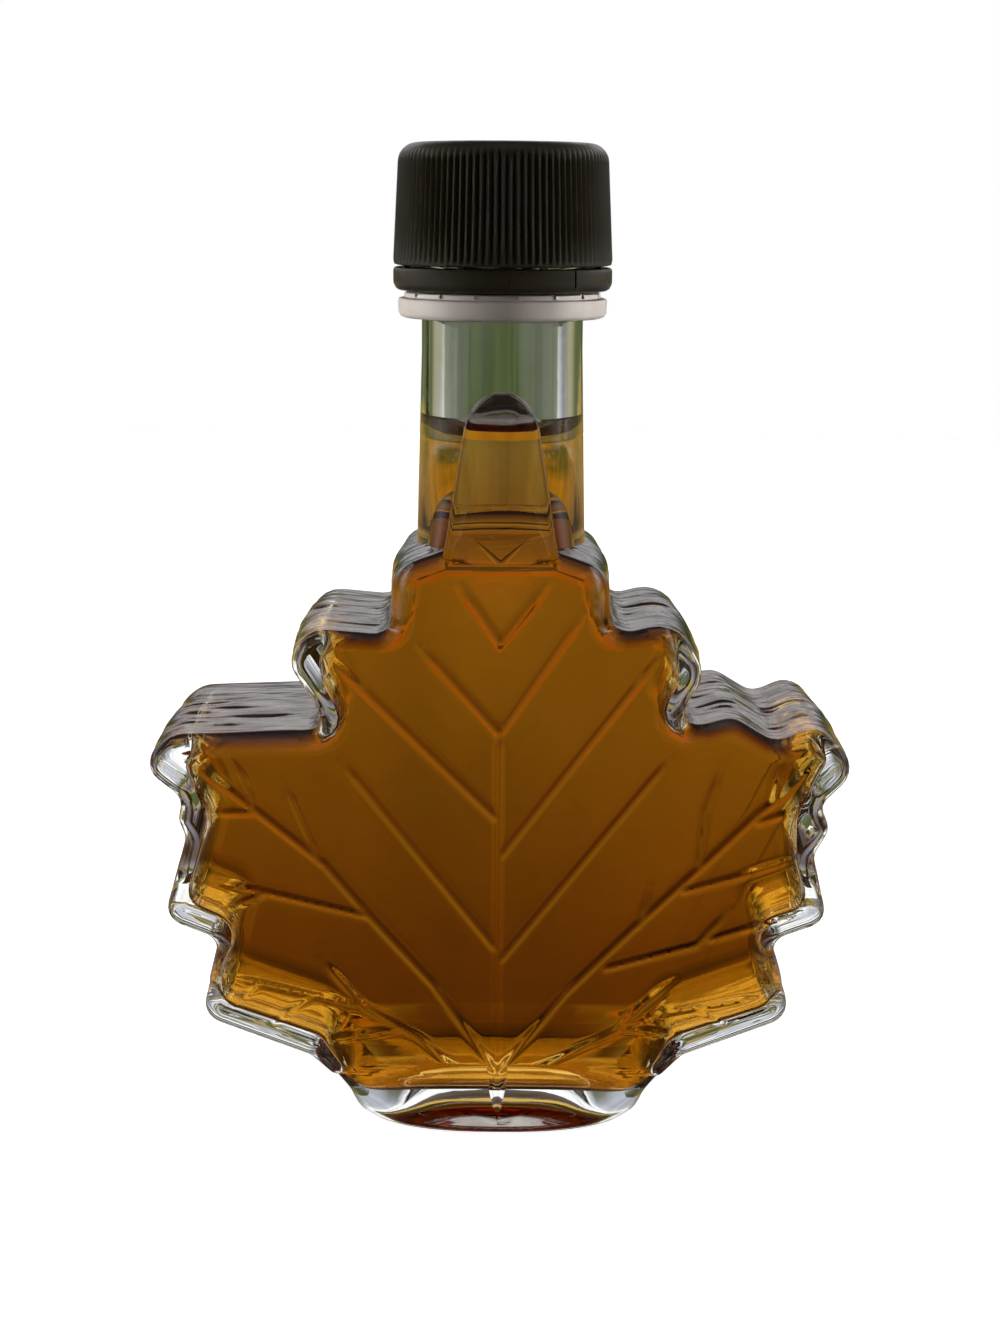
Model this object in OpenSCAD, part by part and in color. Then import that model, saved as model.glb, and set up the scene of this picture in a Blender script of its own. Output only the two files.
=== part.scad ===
// Small glass bottle of maple syrup in the shape of a maple leaf, with a screw cap.
// The foot stands on z = 0, the neck is on the Z axis and the front face looks towards -Y.

/* [Leaf body] */
// Width between the two side tips, measured at the corners before they are rounded
leaf_w = 92; // [80:1:116]
// Height of the shoulder, where the neck starts, above the floor
leaf_h = 75.5; // [66:0.5:95]
// Depth of the body from front face to back face
leaf_depth = 33; // [28:0.5:42]
// Rounding of the edge between the side wall and each face
edge_r = 2; // [1.5:0.1:3]
// How far the faces are smaller than the outline at mid depth, because of the mould draft
draft = 0.5; // [0:0.1:0.8]

/* [Glass] */
// Wall behind the front and back faces
face_wall = 2.2; // [2:0.1:4]
// Thickness of the bottom
base_wall = 6; // [4:0.5:8]
// Rounding of the inner edges of the cavity
cavity_r = 1.6; // [1:0.1:2.6]

/* [Veins] */
// Height of a raised vein above the face
vein_h = 0.45; // [0.2:0.05:1]
// Width of a main vein at its foot
vein_w = 1.3; // [0.8:0.1:2]

/* [Foot] */
// Width of the oval foot where it meets the floor
foot_w = 40; // [34:1:46]
// Height of the flared foot up to where it disappears in the leaf
foot_h = 12; // [10:0.5:14]
// Height of the hollow under the foot
punt_h = 2.4; // [0.5:0.1:3]

/* [Neck] */
// Length of the neck from the shoulder to the collar
neck_h = 30; // [24:1:38]
// Neck radius at the shoulder
neck_r = 11; // [9.5:0.1:12]
// Neck radius under the collar
neck_top_r = 10.35; // [9:0.05:11]
// Radius of the bore through the neck
bore_r = 8; // [6.5:0.1:8.6]
// Radius of the plain finish that the cap covers
finish_r = 11.8; // [11.2:0.1:12.6]
// How far the leaf's tip runs up the neck from the shoulder
tip_h = 22; // [16:1:26]

/* [Closure] */
// Height of the ribbed screw cap
cap_h = 15.2; // [12:0.2:20]
// Radius over the ribs at the lower edge of the cap
cap_r = 14; // [13.6:0.1:17]
// Radius over the ribs just under the rounded top
cap_top_r = 13.4; // [13:0.1:17]
// Number of ribs round the cap
rib_count = 96; // [48:1:110]
// Depth of the grooves between the ribs
rib_depth = 0.3; // [0.1:0.05:0.4]
// Thickness of the cap's top
cap_top = 1.6; // [1:0.1:3]
// Height of the tamper band
band_h = 2.9; // [2:0.1:5]
// Height of the pale collar under the band
collar_h = 3.2; // [2:0.1:5]
// Radius of the collar's flange
collar_r = 13.4; // [12.6:0.1:14]

/* [Contents] */
// Height of the syrup in the neck above the shoulder
fill_h = 16; // [2:0.5:22]

/* [Fits] */
// Clearance between the syrup and the glass, and round the finish
fit = 0.1; // [0.05:0.05:0.2]
// Height of the slit between cap and tamper band
slit = 0.25; // [0.1:0.05:0.5]

/* [Hidden] */

// the corner lists below are drawn for this width and this shoulder height
drawn_w = 92;
drawn_h = 75.5;
sx = leaf_w / drawn_w;
sz = leaf_h / drawn_h;
half_depth = leaf_depth / 2;
outer_steps = 3;
inner_steps = 2;
min_r = 0.3;

collar_z = leaf_h + neck_h;
band_z = collar_z + collar_h + slit;
cap_z = band_z + band_h + slit;
cap_top_z = cap_z + cap_h;
lip_z = cap_top_z - cap_top - fit;
fill_z = leaf_h + fill_h;
sleeve_r = finish_r + fit;
tip_x = 6.6;
tip_y = half_depth - 1;
tip_lean = atan((tip_y - neck_top_r) / (tip_h - 2));
round_h = 2.7;

// Corners from the shoulder down to the foot: distance from the neck axis, height, radius
left_corners = [
    [6.4, 78.3, 2.4], [14.1, 75.5, 4.4], [14.3, 67.3, 1.8], [26.4, 68.3, 4.6], [26.9, 62.3, 3.6],
    [22.2, 55, 1.4], [42.5, 54.2, 5.4], [46.2, 49.3, 3.2], [41, 45.2, 1.6], [41.5, 42.5, 2.6],
    [40.6, 40.2, 1.8], [43.7, 29, 3], [36.6, 26.2, 1.6], [39.2, 15.8, 3.4], [24.6, 10.3, 2],
    [21.6, 7, 2.2]
];
right_corners = [
    [6.4, 78.3, 2.4], [14.1, 75.5, 4.4], [14.6, 67.4, 1.8], [22.6, 69.4, 5.4], [26.7, 61.9, 4.4],
    [22.2, 55, 1.4], [29.8, 57.1, 4], [35.2, 53.8, 2.6], [41, 56.4, 4], [46.2, 49.5, 3.6],
    [41.4, 44.6, 1.6], [43, 42, 2.4], [40.9, 38.2, 1.8], [43.1, 29.2, 3], [35.8, 26.5, 1.6],
    [38.8, 16.2, 3.4], [24.4, 10.6, 2], [21.4, 7, 2.2]
];
// The cavity follows the leaf more softly and leaves the glass thick at the notches
left_cavity = [
    [7, 76, 2], [12.2, 74, 3], [12.5, 66, 2.2], [22.9, 66.5, 3.2], [22.5, 61, 3],
    [18.8, 52.9, 3], [41.6, 52.2, 3], [37, 43, 3.2], [40.4, 31.3, 2.6], [33.8, 28.4, 3],
    [36.6, 18, 2.6], [23, 13.2, 3]
];
right_cavity = [
    [7, 76, 2], [12.2, 74, 3], [12.7, 66.1, 2.2], [22.1, 67.4, 3.4], [22.6, 61, 3],
    [18.8, 52.9, 3], [29.8, 55, 3.4], [34.9, 52, 2.2], [40.6, 53.6, 2.6], [41.6, 50.6, 1.4],
    [38, 43.2, 2.6], [38.2, 37.6, 3], [40, 31.3, 2.6], [33.2, 28.4, 3], [36.4, 18.2, 2.6],
    [22.8, 13.4, 3]
];
cavity_foot_x = 18.6;
cavity_foot_r = 4.5;

// Raised veins of one half of the leaf: distance from the midrib and height of each bend
left_veins = [
    [[0, 65.8], [5.1, 73.4]], [[0, 54.3], [10.1, 65.6]],
    [[0, 43], [21.5, 64.2]], [[0, 25.6], [20.1, 50.9]],
    [[0, 9], [8.2, 21], [16.5, 30.3], [22.2, 37.1], [30.8, 44.1], [39.4, 50.8]],
    [[31, 44.1], [32.2, 48.3], [34.3, 51.4]], [[22.7, 37.3], [27.3, 48.4]],
    [[31.4, 43.9], [36.8, 43.8]], [[16.4, 30.2], [30.3, 33.5], [36.5, 34.8]],
    [[29.7, 33.3], [34.7, 31.1]], [[0, 6.8], [4.1, 7.9], [10.2, 13.9], [17.1, 17.8], [22.8, 24.7]],
    [[18.5, 18.4], [34.3, 21.9]], [[23.8, 19.4], [28.8, 16]], [[30.6, 21], [33.8, 18.4]],
    [[13.1, 15], [22.5, 13.4]]
];
right_veins = [
    [[0, 65.8], [5.8, 73.5]], [[0, 54.3], [10.5, 70]],
    [[0, 38], [19.6, 64]], [[0, 24.1], [21.8, 51.6]],
    [[0, 9], [8.8, 20.2], [17.2, 28.7], [26.9, 38.1], [33.1, 44.3], [36, 46.6], [40.6, 51.8]],
    [[34.7, 45.3], [35.7, 50]], [[25.5, 37], [26.2, 44.3], [28.2, 50.4]],
    [[33.1, 43.1], [38.9, 45]], [[23.7, 33.9], [30, 35.7], [38, 38.4]],
    [[14.1, 23.5], [25.5, 26.7], [29.9, 31.7]], [[27.4, 27.5], [38.9, 31.2]],
    [[18.1, 29.3], [19.4, 34.7]], [[0, 6.8], [10.8, 12.6], [15.4, 14.9], [18.6, 18.4], [22.9, 22.2]],
    [[21.1, 17.4], [34, 19.8]], [[26.1, 18], [29.3, 16.2]], [[16.3, 15.2], [23.5, 14.6]]
];
tip_vein = [3.7, 3.4];
midrib_top = 55.6;
midrib_foot = 4.5;

// one closed list of corners, clockwise from the top left as seen from the front
function closed(left, right) = concat(
    [for (c = right) [c[0] * sx, c[1] * sz, c[2]]],
    [for (i = [len(left) - 1 : -1 : 0]) [-left[i][0] * sx, left[i][1] * sz, left[i][2]]]);

function unit(v) = v / norm(v);
function angle_of(v) = atan2(v[1], v[0]);
function turn(a, b) = (b - a + 540) % 360 - 180;

// points of the rounded corner at p between the neighbours a and b, moved inwards by inset
function corner_arc(a, p, b, r, inset, steps) =
    let (u = unit(a - p), w = unit(b - p), bis = unit(u + w))
    let (half = acos(u * w) / 2)
    let (side = cross(p - a, b - p) < 0 ? 1 : -1)
    let (q = p + side * inset / sin(half) * bis)
    let (rr = max(r - side * inset, min_r))
    let (c = q + rr / sin(half) * bis)
    let (from = angle_of(q + rr / tan(half) * u - c), to = angle_of(q + rr / tan(half) * w - c))
    [for (k = [0 : steps])
        c + rr * [cos(from + turn(from, to) * k / steps), sin(from + turn(from, to) * k / steps)]];

function rounded(corners, inset, steps) =
    let (n = len(corners))
    [for (i = [0 : n - 1])
        let (a = corners[(i + n - 1) % n], p = corners[i], b = corners[(i + 1) % n])
        each corner_arc([a[0], a[1]], [p[0], p[1]], [b[0], b[1]], p[2], inset, steps)];

// depth and inset of each ring of points, from the back face to the front face
function half_profile(depth, r, taper, steps) = [
    for (k = [0 : steps])
        let (a = 90 * (1 - k / steps))
        [depth - r + r * sin(a), taper + r * (1 - cos(a))]];
function profile(depth, r, taper, steps) =
    let (back = half_profile(depth, r, taper, steps), n = len(back))
    concat(back, taper > 0 ? [[0, 0]] : [], [for (i = [n - 1 : -1 : 0]) [-back[i][0], back[i][1]]]);

// solid through rings of points, closed at both ends by a fan round a centre point
module skin(rings, first_centre, last_centre) {
    n = len(rings[0]);
    m = len(rings);
    points = concat([for (ring = rings) each ring], [first_centre, last_centre]);
    sides = [for (j = [0 : m - 2], i = [0 : n - 1])
        let (a = j * n + i, b = j * n + (i + 1) % n)
        each [[a, b, b + n], [a, b + n, a + n]]];
    ends = [for (i = [0 : n - 1])
        each [[n * m, (i + 1) % n, i],
              [n * m + 1, (m - 1) * n + i, (m - 1) * n + (i + 1) % n]]];
    polyhedron(points, concat(sides, ends));
}

module slab(corners, depth, r, taper, inset, steps) {
    centre_z = leaf_h * 0.46;
    skin([for (s = profile(depth - inset, r, taper, steps))
             [for (p = rounded(corners, s[1] + inset, steps)) [p[0], s[0], p[1]]]],
         [0, depth - inset, centre_z], [0, inset - depth, centre_z]);
}

// oval between an ellipse (power 2) and a rectangle (high power), as a ring at height z
function oval(a, b, z, power, n = 40) = [
    for (i = [0 : n - 1])
        let (c = cos(360 * i / n), s = sin(360 * i / n))
        [a * sign(c) * pow(abs(c), 2 / power), b * sign(s) * pow(abs(s), 2 / power), z]];

module foot() {
    a = foot_w / 2;
    b = half_depth;
    steps = [[a - 2, b - 2.4, 0, 2.6], [a - 0.6, b - 0.8, 0.7, 2.6], [a, b - 0.2, 2, 2.6],
             [a + 1.6, b, 0.38 * foot_h, 3], [a + 2.8, b - 0.1, 0.62 * foot_h, 4],
             [a + 3.6, b - 0.3, foot_h, 8]];
    skin([for (i = [len(steps) - 1 : -1 : 0])
             oval(steps[i][0], steps[i][1], steps[i][2], steps[i][3])],
         [0, 0, foot_h], [0, 0, 0]);
}

module punt() {
    a = foot_w / 2 - 6;
    b = half_depth - 6.5;
    skin([oval(a * 0.6, b * 0.6, punt_h, 2.3), oval(a * 0.9, b * 0.9, punt_h * 0.6, 2.3),
          oval(a, b, -1, 2.3)],
         [0, 0, punt_h], [0, 0, -1]);
}

// the leaf's top tip, a ridge on the front that leans in against the neck
module tip() {
    hull() {
        translate([-tip_x, -tip_y, leaf_h])
            cube([2 * tip_x, tip_y, 1.6]);
        translate([0, 0, leaf_h + tip_h - 2])
            rotate([90, 0, 0])
                cylinder(r = 2, h = neck_top_r + 0.2, $fn = 24);
    }
}

module neck_shell() {
    rotate_extrude($fn = 48)
        polygon([[0, leaf_h - 8], [neck_r, leaf_h - 8], [neck_r, leaf_h],
                 [neck_top_r, collar_z - 4], [neck_top_r, band_z - slit],
                 [finish_r, band_z + 0.4], [finish_r, lip_z - 1.2], [finish_r - 1.2, lip_z], [0, lip_z]]);
}

// hollow inside the glass, made smaller by inset for what fills it
module cavity(inset, top_z) {
    foot_corner = [cavity_foot_x, base_wall / sz, cavity_foot_r];
    corners = closed(concat(left_cavity, [foot_corner]), concat(right_cavity, [foot_corner]));
    slab(corners, half_depth - face_wall, cavity_r, 0, inset, inner_steps);
    hull() {
        translate([inset - 3, 4.5 + inset - half_depth, leaf_h - 3.5])
            cube([6 - 2 * inset, half_depth - 4.5 - inset, 1]);
        translate([0, 0, leaf_h + 9])
            cylinder(r = bore_r - inset, h = 0.5, $fn = 40);
    }
    translate([0, 0, leaf_h - 4])
        cylinder(r = bore_r - inset, h = top_z - leaf_h + 4, $fn = 40);
}

// triangular ridge from p to q on a face at that distance to the front, sunk into the glass
module ridge(p, q, w, face) {
    run = norm(q - p);
    sink = 0.3;
    translate([p[0], -face, p[1]])
        rotate([0, -angle_of(q - p), 0])
            polyhedron(
                [[0, sink, -w / 2], [0, sink, w / 2], [0.3 * w, -vein_h, 0],
                 [run, sink, -w * 0.4], [run, sink, w * 0.4], [run - 0.3 * w, -vein_h * 0.8, 0]],
                [[0, 1, 2], [3, 5, 4], [0, 3, 4, 1], [1, 4, 5, 2], [0, 2, 5, 3]]);
}

module veins(lines, side) {
    for (line = lines, i = [0 : len(line) - 2])
        ridge([side * line[i][0] * sx, line[i][1] * sz],
              [side * line[i + 1][0] * sx, line[i + 1][1] * sz],
              vein_w * (len(line) > 3 ? 1 : 0.8), half_depth);
}

module all_veins() {
    veins(left_veins, -1);
    veins(right_veins, 1);
    ridge([0, midrib_foot * sz], [0, midrib_top * sz], vein_w * 1.2, half_depth);
    // the small V on the tip leans with it
    translate([0, -tip_y, leaf_h + 1.6])
        rotate([-tip_lean, 0, 0])
            for (side = [-1, 1])
                ridge([0, 0], [side * tip_vein[0], tip_vein[1]], vein_w * 0.8, 0);
}

module bottle() {
    color([0.82, 0.86, 0.88, 0.35])
        resize([0, 0, 0])
            difference() {
                union() {
                    slab(closed(left_corners, right_corners), half_depth, edge_r, draft, 0,
                         outer_steps);
                    foot();
                    tip();
                    neck_shell();
                    all_veins();
                }
                cavity(0, lip_z + 1);
                punt();
            }
}

module syrup() {
    color([0.42, 0.2, 0.03])
        resize([0, 0, 0])
            intersection() {
                cavity(fit, fill_z + 2);
                translate([-leaf_w, -leaf_depth, 0])
                    cube([2 * leaf_w, 2 * leaf_depth, fill_z]);
            }
}

// zigzag outline of the ribbed skirt
function ribbed(r) = [
    for (i = [0 : 2 * rib_count - 1])
        let (a = 180 * i / rib_count, d = r - rib_depth * (i % 2))
        [d * cos(a), d * sin(a)]];

module cap() {
    top_r = cap_top_r - rib_depth;
    color([0.07, 0.05, 0.04])
        difference() {
            union() {
                translate([0, 0, cap_z])
                    linear_extrude(height = cap_h - round_h, scale = cap_top_r / cap_r)
                        polygon(ribbed(cap_r));
                translate([0, 0, cap_top_z - round_h - 1])
                    rotate_extrude($fn = 96)
                        polygon(concat([[0, 0], [top_r, 0]],
                            [for (k = [0 : 6])
                                let (a = 15 * k)
                                [top_r - 3.4 + 3.4 * cos(a), 1 + (round_h - 0.35) * sin(a)]],
                            [[0, round_h + 1]]));
            }
            translate([0, 0, cap_z - 1])
                cylinder(r = sleeve_r, h = cap_h - cap_top + 1, $fn = 96);
        }
}

module tamper_band() {
    bridges = 8;
    color([0.09, 0.065, 0.05])
        difference() {
            union() {
                translate([0, 0, band_z])
                    rotate_extrude($fn = 96)
                        polygon([[sleeve_r, 0], [cap_r - 0.6, 0], [cap_r, 0.8],
                                 [cap_r, band_h], [sleeve_r, band_h]]);
                for (i = [0 : bridges - 1])
                    rotate([0, 0, 360 * (i + 0.5) / bridges])
                        translate([cap_r - 1.2, -0.4, cap_z - slit - 0.5])
                            cube([0.8, 0.8, slit + 0.5]);
            }
            rotate([0, 0, -50])
                translate([cap_r - 0.3, -0.15, band_z - 1])
                    cube([1, 0.3, band_h + 2]);
        }
}

module collar() {
    ticks = 16;
    color([0.5, 0.46, 0.46])
        difference() {
            translate([0, 0, collar_z])
                rotate_extrude($fn = 96)
                    polygon([[neck_top_r + fit, 0], [collar_r - 0.7, 0], [collar_r - 0.1, 0.6],
                             [collar_r, collar_h - 0.8], [collar_r - 0.8, collar_h - 0.6],
                             [collar_r - 0.9, collar_h], [neck_top_r + fit, collar_h]]);
            for (i = [0 : ticks - 1])
                rotate([0, 0, 360 * (i + 0.35) / ticks])
                    translate([collar_r - 1.2, -0.3, collar_z + collar_h - 0.5])
                        cube([1, 0.6, 1]);
        }
}

bottle();
syrup();
cap();
tamper_band();
collar();
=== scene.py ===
# %% [markdown]
# # A maple syrup bottle in the shape of a leaf
#
# The bottle is a flat block of clear moulded glass with a maple leaf as its outline. A round neck
# stands on it, an oval foot carries it, and a dark ribbed screw cap closes it. This file makes the
# looks of each piece round the plain solids of the frame, in the same place and at the same size.

# %% The frame
import math

import bmesh
import bpy
import numpy as np
from mathutils import Matrix, Vector, noise


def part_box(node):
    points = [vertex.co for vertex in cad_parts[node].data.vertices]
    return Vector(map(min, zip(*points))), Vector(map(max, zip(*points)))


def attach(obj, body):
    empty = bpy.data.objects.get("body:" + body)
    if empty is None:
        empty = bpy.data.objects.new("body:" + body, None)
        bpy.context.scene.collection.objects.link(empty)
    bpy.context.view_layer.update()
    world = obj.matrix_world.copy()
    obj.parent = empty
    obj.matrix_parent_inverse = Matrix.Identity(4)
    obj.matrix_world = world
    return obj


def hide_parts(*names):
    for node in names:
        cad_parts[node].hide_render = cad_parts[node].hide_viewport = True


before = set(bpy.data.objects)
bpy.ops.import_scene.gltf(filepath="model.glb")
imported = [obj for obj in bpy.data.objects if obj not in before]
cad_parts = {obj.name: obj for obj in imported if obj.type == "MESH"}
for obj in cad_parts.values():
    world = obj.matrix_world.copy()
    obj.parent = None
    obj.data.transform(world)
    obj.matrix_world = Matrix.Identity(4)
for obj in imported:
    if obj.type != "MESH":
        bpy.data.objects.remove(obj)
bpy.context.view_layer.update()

MM = 0.001
low, high = (Vector(corner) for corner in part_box("bottle"))
print("bottle from", [round(v, 4) for v in low], "to", [round(v, 4) for v in high])

# %% [markdown]
# ## Sizes
#
# The frame gives the places that matter: the floor, the lip, the level of the syrup, the seat of
# the cap. The sizes of the leaf are the same few numbers that the solids were drawn with, in
# millimetres, so the new skin lies on the old one.

# %% Sizes from the frame, in millimetres
def top_of(node):
    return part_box(node)[1][2] / MM


def foot_of(node):
    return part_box(node)[0][2] / MM


LIP_Z = top_of("bottle")
LEVEL_Z = top_of("syrup")
COLLAR_Z, COLLAR_TOP = foot_of("collar"), top_of("collar")
BAND_Z = foot_of("tamper_band")
CAP_Z, CAP_TOP = foot_of("cap"), top_of("cap")
CAP_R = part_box("cap")[1][0] / MM
COLLAR_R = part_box("collar")[1][0] / MM
HALF_DEPTH = 16.5
SHOULDER_Z = 75.5
NECK_R, NECK_TOP_R, BORE_R = 11.0, 10.35, 8.0
FINISH_R = 11.8
WALL = 2.2
BASE = 6.0
print("lip at", round(LIP_Z, 2), "syrup up to", round(LEVEL_Z, 2), "cap radius", round(CAP_R, 2))

# %% [markdown]
# The leaf isn't quite the same left and right, so each half has its own list. A corner is given by
# its distance from the middle, its height and the radius that rounds it. The hollow has softer
# corners a few millimetres further in.

# %% Corners of the leaf
LEFT = [
    (6.4, 78.3, 2.4), (14.1, 75.5, 4.4), (14.3, 67.3, 1.8), (26.4, 68.3, 4.6), (26.9, 62.3, 3.6),
    (22.2, 55, 1.4), (42.5, 54.2, 5.4), (46.2, 49.3, 3.2), (41, 45.2, 1.6), (41.5, 42.5, 2.6),
    (40.6, 40.2, 1.8), (43.7, 29, 3), (36.6, 26.2, 1.6), (39.2, 15.8, 3.4), (24.6, 10.3, 2),
    (21.6, 7.6, 2),
]
RIGHT = [
    (6.4, 78.3, 2.4), (14.1, 75.5, 4.4), (14.6, 67.4, 1.8), (22.6, 69.4, 5.4), (26.7, 61.9, 4.4),
    (22.2, 55, 1.4), (29.8, 57.1, 4), (35.2, 53.8, 2.6), (41, 56.4, 4), (46.2, 49.5, 3.6),
    (41.4, 44.6, 1.6), (43, 42, 2.4), (40.9, 38.2, 1.8), (43.1, 29.2, 3), (35.8, 26.5, 1.6),
    (38.8, 16.2, 3.4), (24.4, 10.6, 2), (21.4, 7.6, 2),
]
INNER_LEFT = [
    (7, 76, 2), (12.2, 74, 3), (12.5, 66, 2.2), (22.9, 66.5, 3.2), (22.5, 61, 3),
    (18.8, 52.9, 3), (41.6, 52.2, 3), (37, 43, 3.2), (40.4, 31.3, 2.6), (33.8, 28.4, 3),
    (36.6, 18, 2.6), (23, 13.2, 3), (18.6, BASE, 4.5),
]
INNER_RIGHT = [
    (7, 76, 2), (12.2, 74, 3), (12.7, 66.1, 2.2), (22.1, 67.4, 3.4), (22.6, 61, 3),
    (18.8, 52.9, 3), (29.8, 55, 3.4), (34.9, 52, 2.2), (40.6, 53.6, 2.6), (41.6, 50.6, 1.4),
    (38, 43.2, 2.6), (38.2, 37.6, 3), (40, 31.3, 2.6), (33.2, 28.4, 3), (36.4, 18.2, 2.6),
    (22.8, 13.4, 3), (18.6, BASE, 4.5),
]


def closed(left, right):
    """One closed list of corners, clockwise from the top as seen from the front."""
    return [tuple(c) for c in right] + [(-x, z, r) for x, z, r in reversed(left)]


print(len(closed(LEFT, RIGHT)), "corners outside,", len(closed(INNER_LEFT, INNER_RIGHT)), "inside")


# %% [markdown]
# ## Helpers
#
# An operator works on whatever is selected, so each helper starts from nothing selected. The
# main helper is `loft`: it draws one ring of points, extrudes it again and again, and puts each
# new ring in its place, as one would pull a block into shape by hand.

# %% Selecting
def nothing_selected():
    if bpy.context.object and bpy.context.mode != "OBJECT":
        bpy.ops.object.mode_set(mode="OBJECT")
    bpy.ops.object.select_all(action="DESELECT")


def only(ob):
    nothing_selected()
    ob.select_set(True)
    bpy.context.view_layer.objects.active = ob
    return ob


def edit(ob):
    only(ob)
    bpy.ops.object.mode_set(mode="EDIT")
    bpy.ops.mesh.select_mode(type="VERT")


def leave():
    bpy.ops.object.mode_set(mode="OBJECT")


# %% Cleaning up


def tidy(ob, angle=None):
    """Doubles merged, normals outwards, and smooth shading up to an angle in degrees."""
    edit(ob)
    bpy.ops.mesh.select_all(action="SELECT")
    bpy.ops.mesh.remove_doubles(threshold=1e-6)
    bpy.ops.mesh.normals_make_consistent(inside=False)
    leave()
    if angle:
        bpy.ops.object.shade_smooth_by_angle(angle=math.radians(angle))
    return ob


# %% Lofting
def place(ob, old, new):
    """Moves each selected vertex from its point in the old ring to the same point of the new."""
    mesh = bmesh.from_edit_mesh(ob.data)
    old = np.array(old)
    for v in mesh.verts:
        if v.select:
            v.co = new[int(np.argmin(((old - np.array(v.co)) ** 2).sum(axis=1)))]
    bmesh.update_edit_mesh(ob.data)


def loft(name, rings):
    """A closed solid through rings of points, each extruded from the one before it."""
    rings = [[Vector(p) * MM for p in ring] for ring in rings]
    nothing_selected()
    bpy.ops.mesh.primitive_circle_add(vertices=len(rings[0]), radius=1, fill_type="NGON")
    ob = bpy.context.object
    ob.name = ob.data.name = name
    start = [v.co.copy() for v in ob.data.vertices]
    edit(ob)
    bpy.ops.mesh.select_all(action="SELECT")
    place(ob, start, rings[0])
    for before, ring in zip(rings, rings[1:]):
        bpy.ops.mesh.extrude_region_move()
        place(ob, before, ring)
    leave()
    return tidy(ob)


# %% Turning on a lathe
def lathe(name, profile, steps=96):
    """A solid of revolution: a profile of (radius, height) points, spun round the neck axis."""
    nothing_selected()
    bpy.ops.mesh.primitive_plane_add(size=1 * MM)
    ob = bpy.context.object
    ob.name = ob.data.name = name
    edit(ob)
    bpy.ops.mesh.select_all(action="SELECT")
    bpy.ops.mesh.merge(type="CENTER")
    r, z = profile[0]
    bpy.ops.transform.translate(value=(r * MM, 0, z * MM))
    for (r0, z0), (r1, z1) in zip(profile, profile[1:]):
        step = ((r1 - r0) * MM, 0, (z1 - z0) * MM)
        bpy.ops.mesh.extrude_region_move(TRANSFORM_OT_translate={"value": step})
    if profile[0][0] > 0:
        bpy.ops.mesh.select_all(action="SELECT")
        bpy.ops.mesh.edge_face_add()
        bpy.ops.mesh.delete(type="ONLY_FACE")
    bpy.ops.mesh.select_all(action="SELECT")
    bpy.ops.mesh.spin(steps=steps, angle=math.tau, center=(0, 0, 0), axis=(0, 0, 1))
    leave()
    return tidy(ob)


# %% Joining, cutting and measuring
def combine(ob, other, how):
    """Joins two solids, or cuts the second one out of the first, and drops the second one."""
    only(ob)
    cut = ob.modifiers.new(how.lower(), "BOOLEAN")
    cut.operation = how
    cut.object = other
    cut.solver = "EXACT"
    bpy.ops.object.modifier_apply(modifier=cut.name)
    bpy.data.objects.remove(other)
    return ob


def report(ob):
    ob.data.calc_loop_triangles()
    print(ob.name, len(ob.data.loop_triangles), "triangles, size in mm",
          [round(v / MM, 2) for v in ob.dimensions])


# %% [markdown]
# ## The outline of the leaf
#
# A mould maker draws the leaf as straight edges and rounds each corner. The same is done here: an
# arc of the corner's radius is put into each corner, and the whole line can be moved inwards by an
# inset, so that the rounding of the front and back edges is made from the same corners.

# %% Rounded outline
def arc(a, p, b, radius, inset, steps):
    a, p, b = (Vector(v[:2]) for v in (a, p, b))
    u, w = (a - p).normalized(), (b - p).normalized()
    toward = (u + w).normalized()
    half = u.angle(w) / 2
    edge_in, edge_out = p - a, b - p
    side = 1 if edge_in.x * edge_out.y - edge_in.y * edge_out.x < 0 else -1
    corner = p + side * inset / math.sin(half) * toward
    r = max(radius - side * inset, 0.3)
    centre = corner + r / math.sin(half) * toward
    first = corner + r / math.tan(half) * u - centre
    last = corner + r / math.tan(half) * w - centre
    start = math.atan2(first.y, first.x)
    turn = (math.atan2(last.y, last.x) - start + math.pi) % math.tau - math.pi
    return [centre + r * Vector((math.cos(start + turn * k / steps), math.sin(start + turn * k / steps)))
            for k in range(steps + 1)]


def outline(corners, inset=0.0, steps=5, spacing=1.8):
    """Points round the leaf, with the straight stretches cut about every spacing."""
    n = len(corners)

    def arcs(d):
        return [arc(corners[i - 1], corners[i], corners[(i + 1) % n], corners[i][2], d, steps)
                for i in range(n)]

    plain, moved = arcs(0.0), arcs(inset)
    points = []
    for i in range(n):
        j = (i + 1) % n
        points += moved[i]
        cuts = max(1, round((plain[j][0] - plain[i][-1]).length / spacing))
        points += [moved[i][-1].lerp(moved[j][0], k / cuts) for k in range(1, cuts)]
    return points


# %% Slab with a rounded edge
def slab(name, corners, depth, edge, draft, wall_steps, edge_steps, parting=0.0, grow=0.0, spare=0.0):
    """A slab with the leaf's outline: draft on the walls, and a rounded front and back edge.

    With spare, the flat front stands out by so much more than depth, to be cut back later."""
    depth += grow
    half = [(0.0, -parting)]
    straight = depth - edge
    for k in range(1, wall_steps + 1):
        share = k / wall_steps
        half.append((straight * share, draft * share))
    for k in range(1, edge_steps + 1):
        a = math.radians(90 * k / edge_steps)
        half.append((straight + edge * math.sin(a), draft + edge * (1 - math.cos(a))))
    half.append((depth, draft + edge + 0.15))
    if parting:
        half.insert(1, (0.3, 0.0))
    rings = [(y, d) for y, d in reversed(half)] + [(-y, d) for y, d in half[1:]]
    if spare:
        rings.append((-depth - spare, draft + edge + 0.25))
    return loft(name, [[(p.x, y, p.y) for p in outline(corners, d - grow)] for y, d in rings])


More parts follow.
